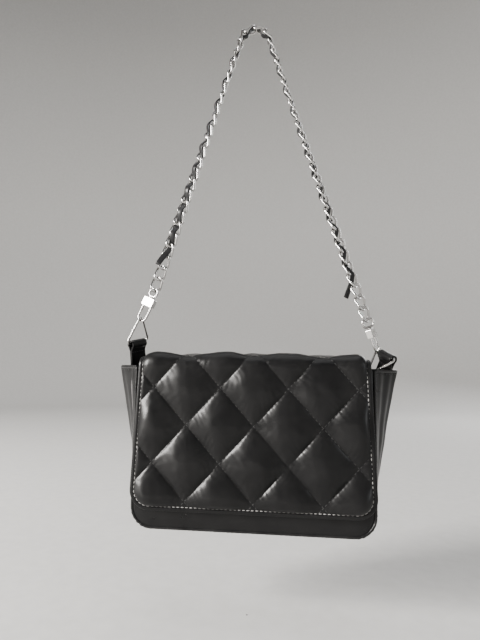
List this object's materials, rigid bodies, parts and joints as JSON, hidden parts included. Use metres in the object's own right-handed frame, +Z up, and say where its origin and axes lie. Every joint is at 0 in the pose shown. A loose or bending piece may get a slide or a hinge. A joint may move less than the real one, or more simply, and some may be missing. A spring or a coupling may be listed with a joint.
{
  "type": "crossbody purse",
  "caption": "Box-shaped shoulder purse with a quilted fold-over flap, side tabs with triangle rings, and a curb-chain strap laced with leather and clipped at both ends.",
  "frame": {"origin": "centre line of the chain at its highest point, where the strap is held", "axes": "+Z up, +Y from the flap's front to the back, +X to the right of someone facing the flap"},
  "size_m": [0.3017, 0.0822, 0.5609],
  "materials": {
    "leather": "gloss",
    "quilted_leather": "gloss",
    "trim": "gloss",
    "lace": "satin",
    "lining": "matte",
    "wadding": "matte",
    "board": "matte",
    "metal": "polished"
  },
  "bodies": {
    "strap": {"chain_left": "metal", "chain_top": "metal", "chain_right": "metal", "lace": "lace"},
    "bag": {"front_panel": "leather", "front_stiffener": "board", "back_panel": "leather", "back_stiffener": "board", "base_panel": "leather", "base_stiffener": "board", "lining_front": "lining", "lining_back": "lining", "lining_base": "lining", "lining_left": "lining", "lining_right": "lining", "gusset_left": "leather", "gusset_right": "leather", "gusset_binding_left": "trim", "gusset_binding_right": "trim", "piping_front": "trim", "piping_back": "trim", "inner_pocket": "lining", "snap_socket": "metal", "snap_socket_washer": "metal", "tab_left": "leather", "tab_right": "leather", "flap_tail": "leather", "flap_back_fold": "leather", "flap_back_fold_wadding": "wadding"},
    "flap_top": {"flap_skin_top": "quilted_leather", "flap_lining_top": "lining", "flap_wadding_top": "wadding", "flap_front_fold": "quilted_leather", "flap_front_fold_wadding": "wadding"},
    "flap_front": {"flap_skin_front": "quilted_leather", "flap_lining_front": "lining", "flap_stiffener": "board", "flap_wadding_front": "wadding", "snap_stud": "metal", "snap_stud_washer": "metal"},
    "ring_left": {"ring_left": "metal"},
    "clip_left": {"clip_left_body": "metal", "clip_left_pin": "metal"},
    "gate_left": {"clip_left_gate": "metal"},
    "swivel_left": {"clip_left_swivel": "metal"},
    "ring_right": {"ring_right": "metal"},
    "clip_right": {"clip_right_body": "metal", "clip_right_pin": "metal"},
    "gate_right": {"clip_right_gate": "metal"},
    "swivel_right": {"clip_right_swivel": "metal"}
  },
  "joints": [
    {"name": "bag_swing", "type": "hinge", "parent": "strap", "child": "bag", "pos_m": [0.00882, -0.00008, -0.32465], "axis": [0.9902, 0.0435, -0.1328], "range_deg": [-45, 45], "deforming": ["chain_left", "chain_right", "lace"]},
    {"name": "flap_lift", "type": "hinge", "parent": "bag", "child": "flap_top", "pos_m": [0.0049, 0.02904, -0.3916], "axis": [-1, 0, 0], "range_deg": [0, 45], "deforming": ["flap_back_fold", "flap_back_fold_wadding"]},
    {"name": "flap_fold", "type": "hinge", "parent": "flap_top", "child": "flap_front", "pos_m": [0.0049, -0.02596, -0.3916], "axis": [-1, 0, 0], "range_deg": [0, 85], "deforming": ["flap_front_fold", "flap_front_fold_wadding"]},
    {"name": "ring_left_pivot", "type": "hinge", "parent": "bag", "child": "ring_left", "pos_m": [-0.1279, 0.00304, -0.365], "axis": [0.5106, 0.8368, 0.1977], "range_deg": [-60, 60]},
    {"name": "clip_left_tilt", "type": "hinge", "parent": "ring_left", "child": "clip_left", "pos_m": [-0.12142, -0.00554, -0.33921], "axis": [0.3862, 0.9047, -0.18], "range_deg": [-40, 40]},
    {"name": "gate_left_open", "type": "hinge", "parent": "clip_left", "child": "gate_left", "pos_m": [-0.11947, -0.00282, -0.3213], "axis": [-0.3862, -0.9047, 0.18], "range_deg": [0, 25], "stiffness_Nm_per_rad": 0.0006, "springref_deg": -20.05},
    {"name": "swivel_left_spin", "type": "hinge", "parent": "clip_left", "child": "swivel_left", "pos_m": [-0.1134, -0.00535, -0.321], "axis": [0.4031, 0.01, 0.9151], "continuous": true},
    {"name": "ring_right_pivot", "type": "hinge", "parent": "bag", "child": "ring_right", "pos_m": [0.1434, -0.00496, -0.3756], "axis": [-0.4578, 0.8121, 0.3618], "range_deg": [-2, 12]},
    {"name": "clip_right_tilt", "type": "hinge", "parent": "ring_right", "child": "clip_right", "pos_m": [0.13669, 0.00572, -0.37151], "axis": [-0.8106, 0.5177, -0.2736], "range_deg": [-25, 25]},
    {"name": "gate_right_open", "type": "hinge", "parent": "clip_right", "child": "gate_right", "pos_m": [0.1339, 0.0105, -0.35416], "axis": [-0.8106, 0.5177, -0.2736], "range_deg": [0, 25], "stiffness_Nm_per_rad": 0.0006, "springref_deg": -20.05},
    {"name": "swivel_right_spin", "type": "hinge", "parent": "clip_right", "child": "swivel_right", "pos_m": [0.1301, 0.00532, -0.35274], "axis": [-0.3312, -0.0201, 0.9434], "continuous": true}
  ]
}
